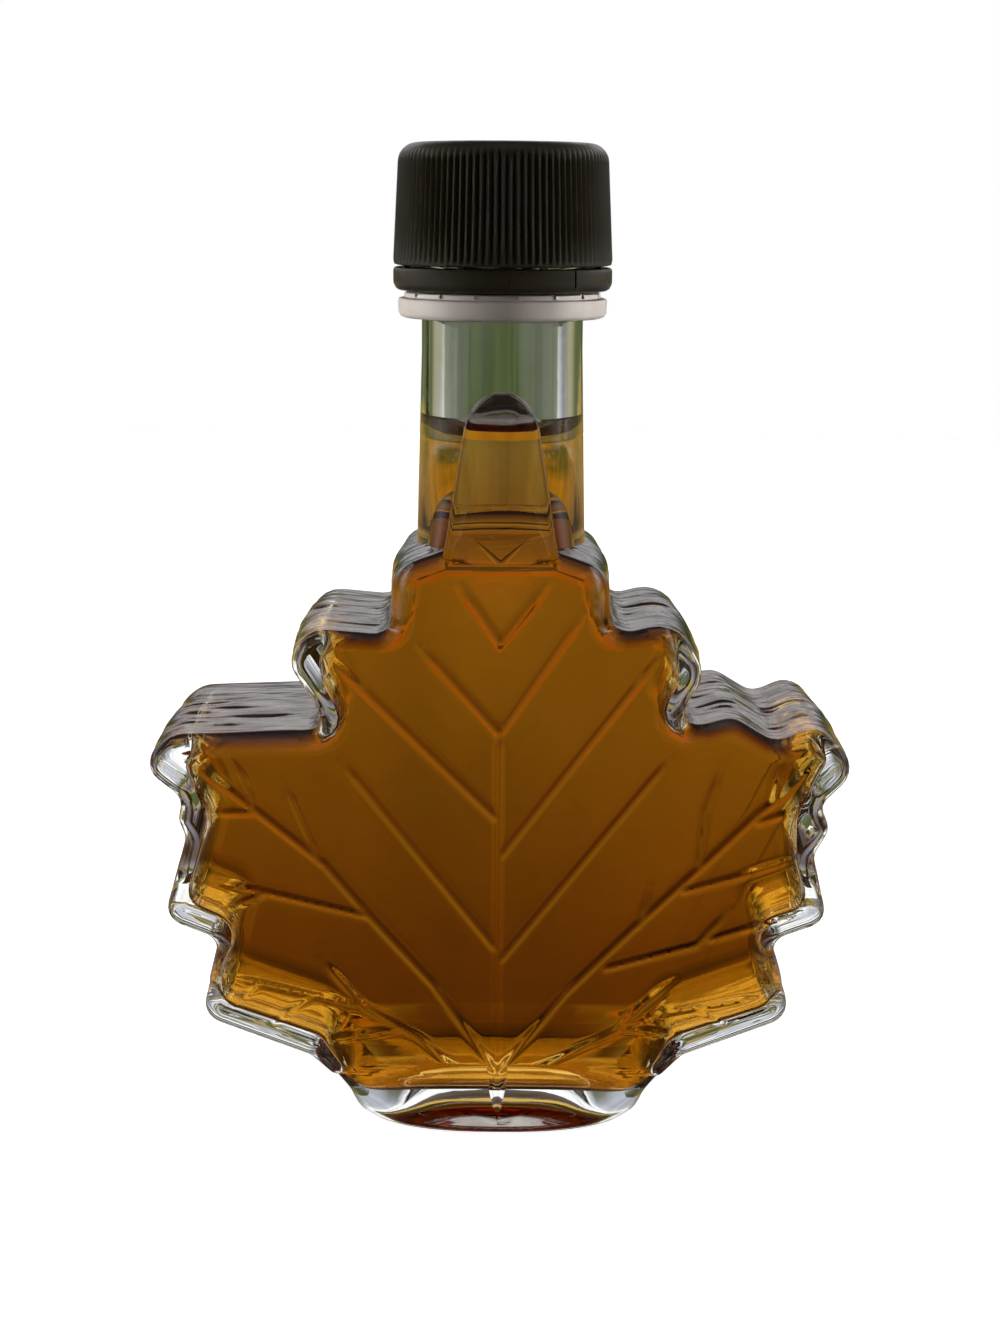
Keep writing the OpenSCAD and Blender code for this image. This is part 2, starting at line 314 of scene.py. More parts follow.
# %% [markdown]
# ## The glass body
#
# The walls of the real block aren't flat: hot glass takes small waves from the mould, which run
# along the walls. They are pushed into the wall's vertices with a seeded noise that is fine
# through the depth and long round the leaf, so that the walls break the light into streaks.

# %% Leaf block
glass = slab("glass_leaf", closed(LEFT, RIGHT), HALF_DEPTH, edge=2.0, draft=0.5, wall_steps=34,
             edge_steps=6, parting=0.08, spare=0.8)
report(glass)


# %% Folds in the walls
def ripple(ob, height, through, along, reach):
    """Folds of a height, with one wave length through the depth and one along, in mm."""
    mesh = ob.data
    normals = [v.normal.copy() for v in mesh.vertices]
    for v, normal in zip(mesh.vertices, normals):
        x, y, z = v.co / MM
        fade = 1 - (abs(y) / reach) ** 6
        if abs(normal.y) > 0.6 or fade <= 0:
            continue
        slow = noise.noise(Vector((x / along, y / through, z / along)))
        fold = abs(noise.noise(Vector((x / along * 1.7, y / through * 2.3, z / along * 1.7 + 9))))
        fine = noise.noise(Vector((x / along * 4, y / through * 5.5, z / along * 4 - 5)))
        fade *= min(max(0.2 + 0.8 * (normal.z + 0.6) / 0.8, 0.2), 1.0)
        v.co += normal * (slow - 1.1 * fold + 0.22 * fine) * height * fade * MM


ripple(glass, height=0.34, through=5.0, along=13.0, reach=15.4)

# %% [markdown]
# The foot starts as an oval on the floor and turns into a box where it meets the leaf, so each of
# its rings is an oval with its own power: 2 is an ellipse, a high power is nearly a rectangle.

# %% Foot
def oval(a, b, z, power, n=96):
    points = []
    for i in range(n):
        c, s = math.cos(math.tau * i / n), math.sin(math.tau * i / n)
        points.append((a * math.copysign(abs(c) ** (2 / power), c),
                       b * math.copysign(abs(s) ** (2 / power), s), z))
    return points


foot = loft("glass_foot", [
    oval(18.0, 14.1, 0.0, 2.6), oval(18.9, 15.0, 0.15, 2.6), oval(19.6, 15.7, 0.7, 2.6),
    oval(20.0, 16.1, 1.5, 2.6), oval(20.4, 16.35, 2.6, 2.7), oval(21.3, 16.44, 4.4, 3.1),
    oval(22.2, 16.46, 6.2, 3.8), oval(23.0, 16.46, 8.0, 5), oval(23.7, 16.46, 10.0, 7),
    oval(24.0, 16.46, 12.4, 9),
])
combine(glass, foot, "UNION")

# %% [markdown]
# The round neck is turned on the lathe, with the plain finish that the cap sits on.

# %% Neck
neck = lathe("glass_neck", [
    (0, SHOULDER_Z - 8), (NECK_R, SHOULDER_Z - 8), (NECK_R, SHOULDER_Z), (NECK_TOP_R, COLLAR_Z - 4),
    (NECK_TOP_R, BAND_Z - 0.25), (FINISH_R, BAND_Z + 0.4), (FINISH_R, LIP_Z - 1.2),
    (FINISH_R - 0.35, LIP_Z - 0.35), (FINISH_R - 1.2, LIP_Z), (0, LIP_Z),
])
combine(glass, neck, "UNION")

# %% [markdown]
# The top tip of the leaf runs up the front of the neck as a narrow panel that leans in against it.
# It starts flush with the leaf, narrows on the way up, and ends in a round top. Its rings are close
# together where it starts to lean and where its top rounds off.

# %% Tip panel
def tip_ring(z, half_x, y, round_r=0.5):
    """A rounded rectangle at height z: half_x wide to each side and y deep to the front."""
    corners = [(half_x, 1, 0.5), (half_x, -y, round_r), (-half_x, -y, round_r), (-half_x, 1, 0.5)]
    return [(p.x, p.y, z) for p in outline(corners, 0, 3, 99)]


TIP_LOW, TIP_HIGH = 75.7, 96.8
TIP_TALL = TIP_HIGH - TIP_LOW
TIP_WIDE, TIP_TAPER = 7.4, 3.4
TIP_ROUND = 0.78
TIP_STEPS = (0.03, 0.06, 0.1, 0.15, 0.2, 0.26, 0.36, 0.48, 0.6, 0.7, 0.78, 0.84, 0.89, 0.93, 0.96,
             0.98, 0.995)
FLUSH = HALF_DEPTH + 0.003
LEAN = 5.63


def panel_front(up):
    """How far the panel stands out at a share of its height; it starts to lean without a crease."""
    return FLUSH - LEAN * (math.sqrt(up * up + 0.01) - 0.1) / (math.sqrt(1.01) - 0.1)


tip_rings = [tip_ring(70.0, TIP_WIDE + 0.1, FLUSH), tip_ring(TIP_LOW, TIP_WIDE, FLUSH)]
for up in TIP_STEPS:
    width = TIP_WIDE - TIP_TAPER * up
    if up > TIP_ROUND:
        width *= math.sqrt(max(1 - ((up - TIP_ROUND) / 0.22) ** 2, 0.02))
    tip_rings.append(tip_ring(TIP_LOW + TIP_TALL * up, width, panel_front(up), min(0.7, width * 0.6)))
combine(glass, loft("glass_tip", tip_rings), "UNION")
report(glass)

# %% [markdown]
# Two small pieces don't lie on the flat face: the little V of veins on the leaning panel, and the
# stem of the leaf, which runs down over the foot. Both are lofted and joined to the glass.

# %% Small vein on the tip, and the stem
for side in (-1, 1):
    arm = []
    for k in range(10):
        out, up = 3.7 * k / 9, (0.4 + 3.3 * k / 9) / TIP_TALL
        thick = 0.34 * (1.15 - k / 9)
        arm.append([(px + side * out, py - panel_front(up) + 0.08, TIP_LOW + TIP_TALL * up)
                    for px, py, pz in oval(0.5 * (1.2 - k / 9), thick, 0, 2, 12)])
    combine(glass, loft("tip_vein", arm), "UNION")
STEM_Y = -15.6
STEM = ((1.7, 1.5, 12.0), (1.6, 1.5, 8.6), (1.3, 1.35, 6.4), (0.9, 1.1, 4.4), (0.4, 0.8, 2.6),
        (0.1, 0.5, 1.6))
stem = loft("glass_stem", [[(px, py + STEM_Y, pz) for px, py, pz in oval(a, b, z, 2, 24)]
                           for a, b, z in STEM])
combine(glass, stem, "UNION")
report(glass)

# %% [markdown]
# ## The veins
#
# The veins are low soft ridges on the front. Hot glass never fills the sharp bottom of a mould's
# line, so a ridge has no hard foot. A fine grid is raised along the lines of the veins and used as
# the face of a cutter, which takes the spare glass off the front. The lists give, for one half of
# the leaf, the distance from the midrib and the height.

# %% Lines of the veins
LEFT_VEINS = [
    [(0, 65.8), (5.1, 73.4)], [(0, 54.3), (10.1, 65.6)], [(0, 43), (21.5, 64.2)],
    [(0, 25.6), (20.1, 50.9)],
    [(0, 9), (8.2, 21), (16.5, 30.3), (22.2, 37.1), (30.8, 44.1), (39.4, 50.8)],
    [(31, 44.1), (32.2, 48.3), (34.3, 51.4)], [(22.7, 37.3), (27.3, 48.4)],
    [(31.4, 43.9), (36.8, 43.8)], [(16.4, 30.2), (30.3, 33.5), (36.5, 34.8)],
    [(29.7, 33.3), (34.7, 31.1)], [(0, 6.8), (4.1, 7.9), (10.2, 13.9), (17.1, 17.8), (22.8, 24.7)],
    [(18.5, 18.4), (34.3, 21.9)], [(23.8, 19.4), (28.8, 16)], [(30.6, 21), (33.8, 18.4)],
    [(13.1, 15), (22.5, 13.4)],
]
RIGHT_VEINS = [
    [(0, 65.8), (5.8, 73.5)], [(0, 54.3), (10.5, 70)], [(0, 38), (19.6, 64)],
    [(0, 24.1), (21.8, 51.6)],
    [(0, 9), (8.8, 20.2), (17.2, 28.7), (26.9, 38.1), (33.1, 44.3), (36, 46.6), (40.6, 51.8)],
    [(34.7, 45.3), (35.7, 50)], [(25.5, 37), (26.2, 44.3), (28.2, 50.4)],
    [(33.1, 43.1), (38.9, 45)], [(23.7, 33.9), (30, 35.7), (38, 38.4)],
    [(14.1, 23.5), (25.5, 26.7), (29.9, 31.7)], [(27.4, 27.5), (38.9, 31.2)],
    [(18.1, 29.3), (19.4, 34.7)], [(0, 6.8), (10.8, 12.6), (15.4, 14.9), (18.6, 18.4), (22.9, 22.2)],
    [(21.1, 17.4), (34, 19.8)], [(26.1, 18), (29.3, 16.2)], [(16.3, 15.2), (23.5, 14.6)],
]
MIDRIB = [(0, 4.5), (0, 55.6)]
VEIN_HEIGHT = 0.34
print(len(LEFT_VEINS) + len(RIGHT_VEINS) + 1, "veins")


# %% [markdown]
# The height of a vein falls off on both sides like a bell curve. It also gets lower and narrower
# over its last three millimetres, so that it runs out into the face instead of stopping.

# %% Height of the veins
def vein_height(x, z):
    """Height of the raised lines at points of the face, all in mm."""
    top = np.zeros_like(x)
    lines = [[(-a, b) for a, b in line] for line in LEFT_VEINS] + RIGHT_VEINS + [MIDRIB]
    for line in lines:
        length = sum(math.dist(p, q) for p, q in zip(line, line[1:]))
        run = 0.0
        main = len(line) > 3 or line is MIDRIB
        for (x0, z0), (x1, z1) in zip(line, line[1:]):
            piece = math.dist((x0, z0), (x1, z1))
            t = ((x - x0) * (x1 - x0) + (z - z0) * (z1 - z0)) / piece ** 2
            t = np.clip(t, 0, 1)
            away = np.hypot(x - x0 - t * (x1 - x0), z - z0 - t * (z1 - z0))
            left = length - run - t * piece
            size = np.clip(left / 3.0, 0.25, 1) * (1.0 if main else 0.8)
            ridge = VEIN_HEIGHT * size * np.exp(-(away / (0.3 + 0.14 * size)) ** 2)
            top = np.maximum(top, ridge)
            run += piece
    return top


# %% Cutter with the veins in its face
STEP = 0.34
wide, tall, middle_z = 92.0, 72.0, 43.0
nothing_selected()
bpy.ops.mesh.primitive_grid_add(
    x_subdivisions=round(wide / STEP), y_subdivisions=round(tall / STEP), size=1 * MM)
cutter = bpy.context.object
cutter.name = "front_cutter"
edit(cutter)
bpy.ops.mesh.select_all(action="SELECT")
bpy.ops.transform.resize(value=(wide, tall, 1), center_override=(0, 0, 0))
leave()
points = np.empty(len(cutter.data.vertices) * 3)
cutter.data.vertices.foreach_get("co", points)
points = points.reshape(-1, 3) / MM
x, z = points[:, 0], points[:, 1] + middle_z
wave = np.array([noise.noise(Vector((a / 15, b / 15, 3))) for a, b in zip(x, z)])
face = -HALF_DEPTH - 0.004 - vein_height(x, z) - 0.03 * (wave + 1)
cutter.data.vertices.foreach_set("co", (np.column_stack([x, face, z]) * MM).ravel())
edit(cutter)
bpy.ops.mesh.select_all(action="SELECT")
bpy.ops.mesh.extrude_region_move(TRANSFORM_OT_translate={"value": (0, -3 * MM, 0)})
leave()
tidy(cutter)
combine(glass, cutter, "DIFFERENCE")
report(glass)

# %% [markdown]
# ## The hollow and the syrup
#
# The wall of moulded glass is thin on the flats and thick in the notches. So the hollow has its own,
# softer outline, and the glass left between the two outlines works as a lens. The same shape, a hair
# larger, is the syrup. It reaches into the wall, so that no film of air shines between the two.

# %% Uneven bore
def uneven(point):
    """The bore isn't round in blown glass, and the difference runs down the neck as long streaks."""
    x, y, z = point
    a = math.atan2(y, x)
    share = min(max((z - 84) / 6, 0), 1)
    push = 0.011 * math.sin(5 * a + 0.6) + 0.009 * math.sin(9 * a + 2.1) + 0.004 * math.sin(17 * a)
    return (x * (1 + push * share), y * (1 + push * share), z)


# %% [markdown]
# The hollow of the leaf is a slab again. Its neck part starts as a box, leans in behind the tip
# panel on the front, steps in quickly at the back, and is round from the level of the syrup on.
# The surface of the syrup climbs the glass at its rim, as all watery liquids do.

# %% Hollow shape
def hollow(name, grow, top_z, meniscus=False):
    """The space inside the glass, up to top_z, pushed into the wall by grow."""
    inside = slab(name, closed(INNER_LEFT, INNER_RIGHT), HALF_DEPTH - WALL, edge=1.6, draft=0.0,
                  wall_steps=12, edge_steps=5, grow=grow)
    ripple(inside, height=0.07, through=6.0, along=17.0, reach=13.2)
    g = grow
    full = HALF_DEPTH - WALL + 0.02
    rings = [oval(9.6 + g, full + g, 68.0, 7), oval(9.6 + g, full + g, 73.0, 6)]
    for k in range(1, 27):
        up = (k / 26) ** 1.7
        ease = up * up * (3 - 2 * up)
        ring = oval(9.6 - 1.6 * ease + g, 1.0, 73.0 + 17.0 * up, 6 - 4 * up ** 0.5)
        near = full - (full - BORE_R) * (math.sqrt(up * up + 0.02) - 0.141) / 0.869 + g
        quick = min(up * 6.6, 1)
        far = full - (full - BORE_R) * quick * quick * (3 - 2 * quick) + g
        rings.append([(px, py * (near if py < 0 else far), pz) for px, py, pz in ring])
    bore = BORE_R + g
    if meniscus:
        rings.append(oval(bore, bore, top_z - 1.2, 2))
        for k in range(13):
            out = k / 12
            r = bore - 3.4 * out
            rings.append(oval(r, r, top_z + 2.2 * math.exp(-4 * out) - 0.6, 2))
        rings.append(oval(bore * 0.3, bore * 0.3, top_z - 0.62, 2))
    else:
        rings.append(oval(bore, bore, top_z, 2))
    rings = [[uneven(p) for p in ring] for ring in rings]
    return combine(inside, loft(name + "_neck", rings), "UNION")


# %% Hollowing the glass, with a shallow punt under the foot
combine(glass, hollow("hollow", 0.0, LIP_Z + 1), "DIFFERENCE")
punt = loft("punt", [oval(14, 10, -1, 2.3), oval(13.7, 9.8, 0.2, 2.3), oval(13.0, 9.2, 1.1, 2.3),
                     oval(11.4, 7.9, 1.9, 2.3), oval(8.0, 5.4, 2.3, 2.3), oval(3.0, 2.0, 2.4, 2.3)])
combine(glass, punt, "DIFFERENCE")
glass.name = glass.data.name = "glass_bottle"
tidy(glass, 38)
report(glass)

# %% Syrup, a hair into the wall
syrup = hollow("syrup_fill", 0.14, LEVEL_Z, meniscus=True)
tidy(syrup, 45)
report(syrup)

# %% [markdown]
# ## The cap
#
# A moulded screw cap has fine vertical ribs for grip, a plain rim below and a rounded shoulder
# above. The ribs are drawn in the ring itself: every rib takes four points of the circle, and the
# rings above and below the ribs have all points at one radius, so that the ribs fade out.

# %% Ribbed cap
RIBS = 96
RIB_DEEP = 0.36
CAP_TAPER = 0.6


def rib_ring(radius, depth, z):
    """One ring of the cap, with grooves of a depth between the ribs."""
    shape = (0.0, 0.35, 1.0, 0.35)
    points = []
    for i in range(4 * RIBS):
        a, r = math.tau * i / (4 * RIBS), radius - depth * shape[i % 4]
        points.append((r * math.cos(a), r * math.sin(a), z))
    return points


cap_rings = [rib_ring(CAP_R - 0.5, 0, CAP_Z), rib_ring(CAP_R - 0.12, 0, CAP_Z + 0.12),
             rib_ring(CAP_R - 0.05, 0, CAP_Z + 0.45), rib_ring(CAP_R, 0.32, CAP_Z + 0.8)]
shoulder = CAP_TOP - 2.4
for k in range(1, 5):
    z = CAP_Z + 0.8 + (shoulder - CAP_Z - 0.8) * k / 4
    cap_rings.append(rib_ring(CAP_R - CAP_TAPER * k / 4, RIB_DEEP, z))
for k in range(1, 9):
    a = math.radians(90 * k / 8)
    fade = max(0.0, RIB_DEEP * (1 - k / 4))
    r = CAP_R - CAP_TAPER - 2.5 + 2.5 * math.cos(a)
    cap_rings.append(rib_ring(r, fade, shoulder + 2.4 * math.sin(a)))
cap_rings.append(rib_ring(CAP_R - 4.2, 0, CAP_TOP - 0.03))
cap_rings.append(rib_ring(CAP_R - 4.6, 0, CAP_TOP - 0.22))
cap_rings.append(rib_ring(2.0, 0, CAP_TOP - 0.25))
cap = loft("screw_cap", cap_rings)
inner = FINISH_R + 0.1
combine(cap, lathe("cap_hollow", [(0, CAP_Z - 1), (inner, CAP_Z - 1), (inner, LIP_Z + 0.1),
                                  (0, LIP_Z + 0.1)]), "DIFFERENCE")
tidy(cap, 50)
report(cap)

# %% [markdown]
# Below the cap hangs the tamper band. It is a plain ring on a few thin bridges, with one score line
# where it tears. Between it and the glass shoulder lies a loose pale collar with a stepped rim.

# %% Band
BAND_TOP = CAP_Z - 0.25
band = lathe("torn_band", [
    (inner, BAND_Z), (CAP_R - 0.75, BAND_Z), (CAP_R - 0.35, BAND_Z + 0.22),
    (CAP_R - 0.06, BAND_Z + 0.75), (CAP_R, BAND_Z + 1.1), (CAP_R, BAND_TOP - 0.4),
    (CAP_R - 0.12, BAND_TOP - 0.1),
    (CAP_R - 0.35, BAND_TOP), (inner, BAND_TOP),
], 128)


def block(name, size, middle, turn):
    """A small box with its middle at a point, then turned round the neck axis by degrees."""
    nothing_selected()
    bpy.ops.mesh.primitive_cube_add(size=1)
    ob = bpy.context.object
    ob.name = ob.data.name = name
    edit(ob)
    bpy.ops.mesh.select_all(action="SELECT")
    bpy.ops.transform.resize(value=[s * MM for s in size], center_override=(0, 0, 0))
    bpy.ops.transform.translate(value=[p * MM for p in middle])
    leave()
    ob.data.transform(Matrix.Rotation(math.radians(turn), 4, "Z"))
    return ob


for i in range(8):
    bridge = block("bridge", (0.8, 0.8, 0.5), (CAP_R - 0.9, 0, BAND_TOP + 0.03), 22.5 + 45 * i)
    combine(band, bridge, "UNION")
combine(band, block("score", (0.7, 0.26, 4), (CAP_R + 0.1, 0, BAND_Z + 1.5), -50), "DIFFERENCE")
tidy(band, 40)
report(band)

# %% Collar
bore = NECK_TOP_R + 0.1
collar = lathe("loose_collar", [
    (bore, COLLAR_Z), (COLLAR_R - 0.8, COLLAR_Z), (COLLAR_R - 0.35, COLLAR_Z + 0.18),
    (COLLAR_R - 0.08, COLLAR_Z + 0.6), (COLLAR_R, COLLAR_TOP - 1.1),
    (COLLAR_R - 0.1, COLLAR_TOP - 0.8),
    (COLLAR_R - 0.45, COLLAR_TOP - 0.68), (COLLAR_R - 0.8, COLLAR_TOP - 0.62),
    (COLLAR_R - 0.86, COLLAR_TOP - 0.1), (COLLAR_R - 1.1, COLLAR_TOP), (bore, COLLAR_TOP),
], 128)
for i in range(16):
    notch = block("notch", (1.0, 0.6, 1.0), (COLLAR_R - 0.7, 0, COLLAR_TOP), 360 * (i + 0.35) / 16)
    combine(collar, notch, "DIFFERENCE")
tidy(collar, 40)
report(collar)

# %% [markdown]
# ## Finishes
#
# Clear glass bends light and keeps its colour, and the syrup swallows blue light first and green
# light second, so the deeper one looks into it, the browner it gets. That is what an absorbing
# volume does, so no colour is painted on the syrup at all.

# %% Material helpers
def material(name, **values):
    """A new material with its Principled values set on the shader's own sockets."""
    mat = bpy.data.materials.new(name)
    mat.use_nodes = True
    shader = mat.node_tree.nodes["Principled BSDF"]
    for key, value in values.items():
        shader.inputs[key.replace("_", " ")].default_value = value
    return mat, mat.node_tree, shader


def noise_ramp(tree, scale, stops, detail=4.0, stretch=(1, 1, 1)):
    """Noise on the object's own coordinates, turned into colours or grey values."""
    place = tree.nodes.new("ShaderNodeTexCoord")
    mapping = tree.nodes.new("ShaderNodeMapping")
    mapping.inputs["Scale"].default_value = stretch
    texture = tree.nodes.new("ShaderNodeTexNoise")
    texture.inputs["Scale"].default_value = scale
    texture.inputs["Detail"].default_value = detail
    ramp = tree.nodes.new("ShaderNodeValToRGB")
    tree.links.new(place.outputs["Object"], mapping.inputs["Vector"])
    tree.links.new(mapping.outputs["Vector"], texture.inputs["Vector"])
    tree.links.new(texture.outputs["Fac"], ramp.inputs["Fac"])
    while len(ramp.color_ramp.elements) < len(stops):
        ramp.color_ramp.elements.new(0.5)
    for element, (at, colour) in zip(ramp.color_ramp.elements, stops):
        element.position = at
        element.color = (*colour, 1)
    return ramp.outputs["Color"]


def grey(v):
    return (v, v, v)


def roughen(tree, shader, height, strength, distance):
    """A bump from a grey pattern, far too fine to be modelled."""
    bump = tree.nodes.new("ShaderNodeBump")
    bump.inputs["Strength"].default_value = strength
    bump.inputs["Distance"].default_value = distance
    tree.links.new(height, bump.inputs["Height"])
    tree.links.new(bump.outputs["Normal"], shader.inputs["Normal"])


# %% Glass
glass_mat, tree, shader = material(
    "moulded_glass", Base_Color=(0.97, 0.985, 0.98, 1), Roughness=0.0, IOR=1.5,
    Transmission_Weight=1.0)
orange_peel = noise_ramp(tree, 170.0, [(0.3, grey(0.3)), (0.7, grey(0.7))], 2.0)
roughen(tree, shader, orange_peel, 0.12, 0.0002)
glass.data.materials.append(glass_mat)
print(glass_mat.name, "bends light by", round(shader.inputs["IOR"].default_value, 2))

# %% Syrup
syrup_mat, tree, shader = material(
    "amber_syrup", Base_Color=(1, 1, 1, 1), Roughness=0.0, IOR=1.4,
    Transmission_Weight=1.0)
depth = tree.nodes.new("ShaderNodeVolumeAbsorption")
depth.inputs["Color"].default_value = (0.967, 0.75, 0.0, 1)
depth.inputs["Density"].default_value = 180.0
tree.links.new(depth.outputs["Volume"], tree.nodes["Material Output"].inputs["Volume"])
syrup.data.materials.append(syrup_mat)
print(syrup_mat.name, "density", depth.inputs["Density"].default_value)

# %% [markdown]
# Moulded plastic is never one flat colour: it is a little cloudy, its gloss changes from place to
# place, and its skin is finely grained. Three noises give these three, and the cloud is drawn out
# along the neck axis, the way the cap leaves its mould. The cap and the band are a very dark brown.
# The collar is a milky grey that lets some light through.

# %% Plastic of the cap, the band and the collar
def plastic(name, dark, light, roughness):
    mat, tree, shader = material(name, IOR=1.48)
    cloud = noise_ramp(tree, 260.0, [(0.35, dark), (0.75, light)], 5.0, (1, 1, 0.25))
    gloss = [(0.3, grey(roughness - 0.06)), (0.7, grey(roughness + 0.08))]
    tree.links.new(cloud, shader.inputs["Base Color"])
    tree.links.new(noise_ramp(tree, 900.0, gloss), shader.inputs["Roughness"])
    grain = noise_ramp(tree, 2600.0, [(0.2, grey(0.0)), (0.8, grey(1.0))], 2.0)
    roughen(tree, shader, grain, 0.25, 0.00004)
    return mat


cap_mat = plastic("ribbed_plastic", (0.017, 0.0135, 0.007), (0.024, 0.019, 0.0105), 0.34)
cap.data.materials.append(cap_mat)
band_mat = plastic("band_plastic", (0.015, 0.0115, 0.006), (0.021, 0.0165, 0.009), 0.33)
band.data.materials.append(band_mat)
collar_mat = plastic("collar_plastic", (0.56, 0.51, 0.51), (0.68, 0.63, 0.62), 0.4)
collar_mat.node_tree.nodes["Principled BSDF"].inputs["Transmission Weight"].default_value = 0.55
collar.data.materials.append(collar_mat)
print("plastics:", cap_mat.name, band_mat.name, collar_mat.name)

# %% [markdown]
# ## Putting the pieces in place of the solids
#
# Each new piece rides on the one body of the bottle and takes the place of its plain solid, which is
# hidden. Nothing on the bottle moves by itself, so there is no other body.

# %% Pieces and slots
for piece, node, slot in (
    (glass, "bottle", "clear_glass"), (syrup, "syrup", "maple_syrup"), (cap, "cap", "dark_cap"),
    (band, "tamper_band", "dark_band"), (collar, "collar", "pale_collar"),
):
    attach(piece, "root")
    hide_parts(node)

# %% [markdown]
# ## Floor, surroundings and camera
#
# The floor is a plain pale disc that glows softly, so that no edge or shadow cuts across it. It is
# left out of the light that glass and plastic pick up, because a white disc under the bottle would
# lay a milky veil over the dark cap and the clear foot.

# %% Floor
nothing_selected()
bpy.ops.mesh.primitive_circle_add(
    vertices=128, radius=0.9, fill_type="NGON", location=(0, 0, -0.0001))
floor = bpy.context.object
floor.name = "pale_floor"
only(floor)
bpy.ops.object.transform_apply(location=True, rotation=True, scale=True)
floor_mat, tree, shader = material(
    "pale_floor", Base_Color=(0.85, 0.85, 0.85, 1), Roughness=0.7, Emission_Color=(1, 1, 1, 1),
    Emission_Strength=0.9)
floor.data.materials.append(floor_mat)
floor.visible_transmission = False
floor.visible_glossy = False
floor.visible_diffuse = False
print("floor", round(floor.dimensions.x, 2), "m across")

# %% [markdown]
# Clear glass has no colour of its own: it shows what stands round it, bent and mirrored. So the
# studio is built as a sky of soft bands, one set for each side. Behind the bottle the low part is
# cool, a strip near eye level is warm and green, and a pale band stands above. In front the sky is
# dark, which keeps the flat face free of reflections, with a faint warm glow low down that lights
# the syrup when one walks round to the back.

# %% Helpers for the sky
world = bpy.data.worlds.new("soft_studio")
bpy.context.scene.world = world
world.use_nodes = True
tree = world.node_tree
tree.nodes.clear()


def node(kind, **inputs):
    made = tree.nodes.new(kind)
    for key, value in inputs.items():
        made.inputs[key].default_value = value
    return made


def link(a, b):
    tree.links.new(a, b)


def elevation(degrees):
    return (math.sin(math.radians(degrees)) + 1) / 2


def bands(height, stops):
    """A colour for each elevation in degrees, blended in between."""
    ramp = node("ShaderNodeValToRGB")
    link(height, ramp.inputs["Fac"])
    while len(ramp.color_ramp.elements) < len(stops):
        ramp.color_ramp.elements.new(0.5)
    for element, (degrees, colour) in zip(ramp.color_ramp.elements, stops):
        element.position = elevation(degrees)
        element.color = (*colour, 1)
    return ramp.outputs["Color"]


def smooth(value, low, high):
    ease = node("ShaderNodeMapRange")
    ease.interpolation_type = "SMOOTHSTEP"
    ease.inputs["From Min"].default_value = low
    ease.inputs["From Max"].default_value = high
    link(value, ease.inputs["Value"])
    return ease.outputs["Result"]


def mix(fac, a, b):
    made = node("ShaderNodeMix")
    made.data_type = "RGBA"
    link(fac, made.inputs[0])
    link(a, made.inputs[6])
    link(b, made.inputs[7])
    return made.outputs[2]


# %% Bands of light by height
direction = node("ShaderNodeTexCoord").outputs["Generated"]
axes = node("ShaderNodeSeparateXYZ")
link(direction, axes.inputs["Vector"])
half_up = node("ShaderNodeMapRange")
link(axes.outputs["Z"], half_up.inputs["Value"])
half_up.inputs["From Min"].default_value = -1
height = half_up.outputs["Result"]
behind = bands(height, [
    (-90, (0.008, 0.006, 0.004)), (-32, (0.012, 0.009, 0.007)), (-24, (0.09, 0.065, 0.055)),
    (-19, (0.155, 0.112, 0.1)), (-16, (0.21, 0.19, 0.21)), (-13, (0.26, 0.27, 0.33)),
    (-10, (0.3, 0.31, 0.37)), (-8, (0.46, 0.32, 0.1)), (-5.2, (0.46, 0.32, 0.08)),
    (-4.6, (0.13, 0.15, 0.07)), (-3.2, (0.095, 0.12, 0.045)), (0, (0.09, 0.115, 0.045)),
    (4, (0.2, 0.21, 0.18)), (8, (0.5, 0.52, 0.58)), (12, (0.75, 0.76, 0.8)),
    (14, (1.15, 1.15, 1.12)), (27, (1.15, 1.15, 1.12)), (32, (0.1, 0.1, 0.1)), (60, (0.05, 0.05, 0.05)),
    (90, (0.2, 0.2, 0.2)),
])
front = bands(height, [
    (-90, (0.01, 0.01, 0.01)), (-30, (0.01, 0.008, 0.004)), (-24, (0.055, 0.032, 0.006)),
    (-19, (0.09, 0.055, 0.008)), (-13, (0.15, 0.1, 0.012)), (-9, (0.2, 0.14, 0.02)),
    (-5.2, (0.25, 0.18, 0.04)), (-4, (0.09, 0.09, 0.04)), (0, (0.05, 0.06, 0.03)),
    (3, (0.006, 0.006, 0.005)), (25, (0.02, 0.02, 0.02)), (60, (0.1, 0.1, 0.1)), (90, (0.3, 0.3, 0.3)),
])
sides = bands(height, [
    (-90, (0.01, 0.01, 0.01)), (-30, (0.04, 0.035, 0.03)), (-15, (0.2, 0.21, 0.25)),
    (-7, (0.36, 0.3, 0.24)), (-4, (0.22, 0.21, 0.11)), (0, (0.36, 0.33, 0.19)),
    (6, (0.45, 0.43, 0.3)), (14, (0.9, 0.9, 0.9)), (30, (0.5, 0.5, 0.5)), (60, (0.2, 0.2, 0.2)),
])

# %% [markdown]
# Upright stripes of noise, like trunks in a wood, break the band behind the bottle, so that the
# empty neck shows streaks. The three sets are then blended by direction.

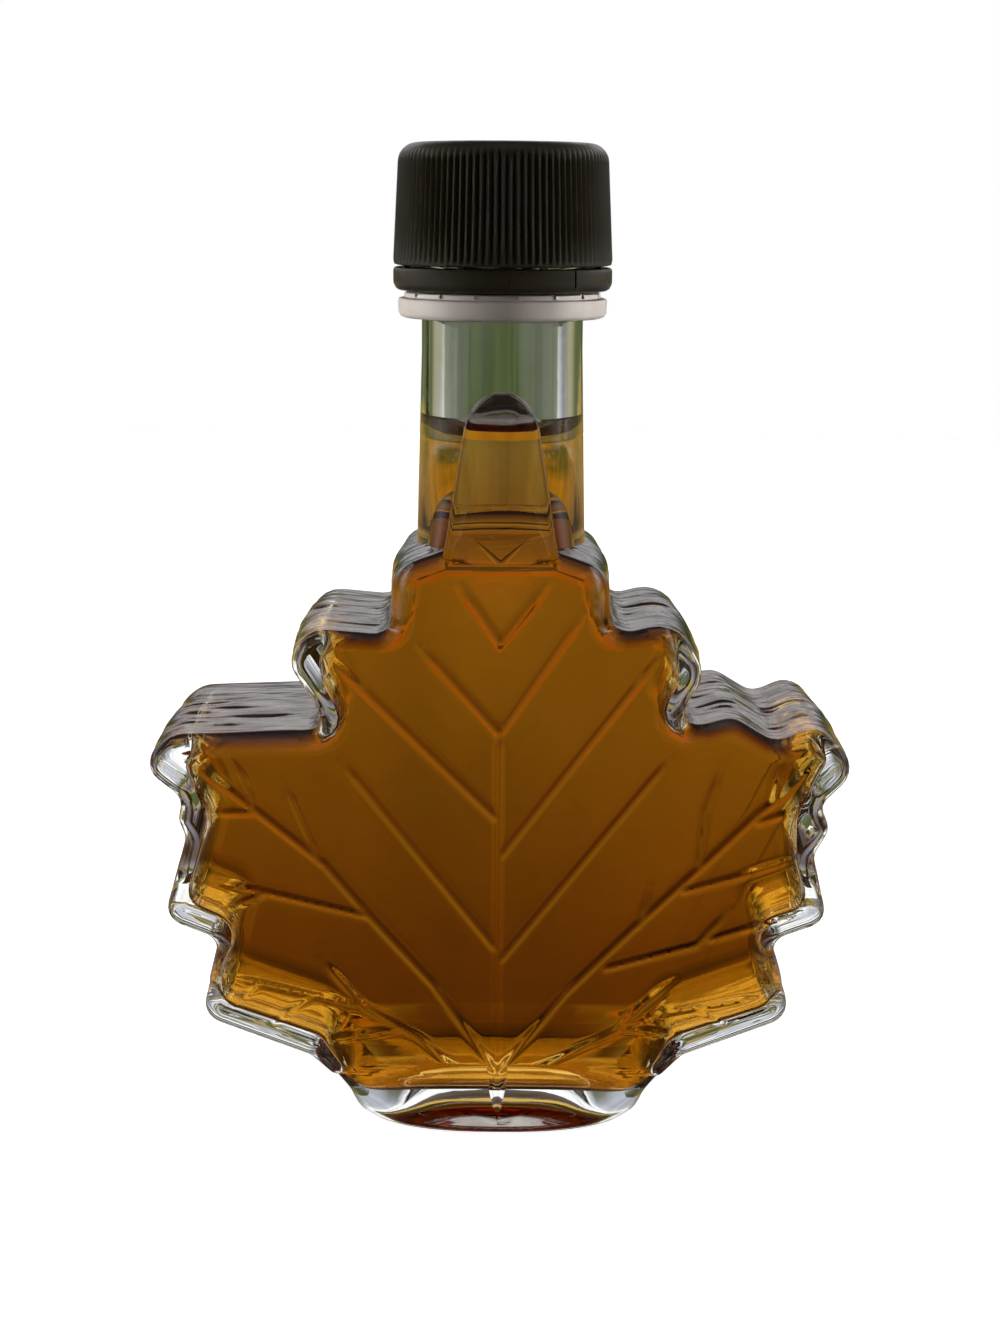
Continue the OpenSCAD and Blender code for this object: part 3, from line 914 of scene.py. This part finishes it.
# %% Blending the bands
across = node("ShaderNodeMath")
across.operation = "ABSOLUTE"
link(axes.outputs["X"], across.inputs[0])
stretch = node("ShaderNodeMapping", Scale=(9, 9, 1.4))
trees = node("ShaderNodeTexNoise", Scale=1.0, Detail=3.0)
link(direction, stretch.inputs["Vector"])
link(stretch.outputs["Vector"], trees.inputs["Vector"])
stripes = node("ShaderNodeMapRange")
link(trees.outputs["Fac"], stripes.inputs["Value"])
stripes.inputs["From Min"].default_value = 0.3
stripes.inputs["From Max"].default_value = 0.7
stripes.inputs["To Min"].default_value = 0.7
stripes.inputs["To Max"].default_value = 1.3
varied = node("ShaderNodeVectorMath")
varied.operation = "SCALE"
link(behind, varied.inputs[0])
link(stripes.outputs["Result"], varied.inputs["Scale"])
behind = varied.outputs["Vector"]
colour = mix(smooth(across.outputs[0], 0.55, 0.9), behind, sides)
colour = mix(smooth(axes.outputs["Y"], -0.1, 0.35), front, colour)

# %% [markdown]
# The matt plastic is lit by two tall lights far out on the left and on the right, which leave the
# middle of the cap dark. Glass would mirror them as hard stripes, so only matt surfaces see them.
# The camera itself sees plain white behind the bottle.

# %% Side lights and white background
seen = node("ShaderNodeLightPath")
dim, pale = node("ShaderNodeRGB"), node("ShaderNodeRGB")
dim.outputs[0].default_value = (0.03, 0.03, 0.03, 1)
pale.outputs[0].default_value = (26.0, 25.0, 23.0, 1)
lit = mix(smooth(across.outputs[0], 0.88, 1.0), dim.outputs[0], pale.outputs[0])
colour = mix(seen.outputs["Is Diffuse Ray"], colour, lit)
around, plain = node("ShaderNodeBackground"), node("ShaderNodeBackground", Color=(1, 1, 1, 1))
link(colour, around.inputs["Color"])
choice = node("ShaderNodeMixShader")
link(seen.outputs["Is Camera Ray"], choice.inputs["Fac"])
link(around.outputs[0], choice.inputs[1])
link(plain.outputs[0], choice.inputs[2])
link(choice.outputs[0], node("ShaderNodeOutputWorld").inputs["Surface"])
print("sky of", len(tree.nodes), "nodes")

# %% [markdown]
# ## Camera
#
# The camera stands at the height of the cap and looks down at the leaf, with a long lens so that
# the bottle keeps its proportions. Light has to pass many walls of glass, so many bends are allowed.

# %% Camera
lens = bpy.data.cameras.new("camera")
lens.lens = 59.45
lens.sensor_width = 36
lens.clip_start = 0.01
camera = bpy.data.objects.new("camera", lens)
camera.matrix_world = (Matrix.Translation((0, -0.285, 0.1195))
                       @ Matrix.Rotation(math.radians(78.2), 4, "X")
                       @ Matrix.Rotation(math.radians(0.4), 4, "Z"))
bpy.context.scene.collection.objects.link(camera)
bpy.context.scene.camera = camera
scene = bpy.context.scene
scene.view_settings.view_transform = "Standard"
scene.cycles.max_bounces = 24
scene.cycles.transmission_bounces = 24
scene.cycles.glossy_bounces = 12
scene.cycles.caustics_refractive = True
print("camera at", [round(v, 3) for v in camera.matrix_world.translation], "lens", lens.lens)
